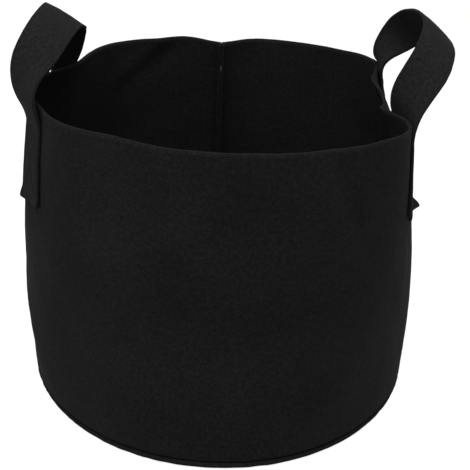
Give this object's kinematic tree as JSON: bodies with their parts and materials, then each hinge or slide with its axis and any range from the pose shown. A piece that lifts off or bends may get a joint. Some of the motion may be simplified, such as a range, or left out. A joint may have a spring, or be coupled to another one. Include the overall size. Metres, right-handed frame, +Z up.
{
  "type": "fabric grow bag",
  "caption": "Round open-topped planting bag of thick needle felt with a sewn round base, one back seam and sewn felt strap handles.",
  "frame": {"origin": "centre of the flat underside of the base", "axes": "+Z up towards the open rim, +X towards the right handle, -Y towards the front, with the back seam near +Y"},
  "size_m": [0.4192, 0.418, 0.377],
  "materials": {
    "body_felt": "matt black needle felt",
    "strap_felt": "matt black felt strap",
    "thread": "black bonded sewing thread"
  },
  "bodies": {
    "bag": {"base_panel": "body_felt", "wall_panel": "body_felt", "base_seam_thread": "thread", "back_seam_thread": "thread", "left_strap_front_leg": "strap_felt", "left_strap_front_stitching": "thread", "left_strap_back_leg": "strap_felt", "left_strap_back_stitching": "thread", "right_strap_front_leg": "strap_felt", "right_strap_front_stitching": "thread", "right_strap_back_leg": "strap_felt", "right_strap_back_stitching": "thread"},
    "left_handle": {"left_strap_loop": "strap_felt"},
    "right_handle": {"right_strap_loop": "strap_felt"}
  },
  "joints": [
    {"name": "left_handle_fold", "type": "hinge", "parent": "bag", "child": "left_handle", "pos_m": [-0.17636, -0.08565, 0.309], "axis": [0.0677, 0.9977, 0], "range_deg": [-85, 75]},
    {"name": "right_handle_fold", "type": "hinge", "parent": "bag", "child": "right_handle", "pos_m": [0.16021, -0.07773, 0.309], "axis": [-0.0184, 0.9998, 0], "range_deg": [-85, 65]}
  ]
}
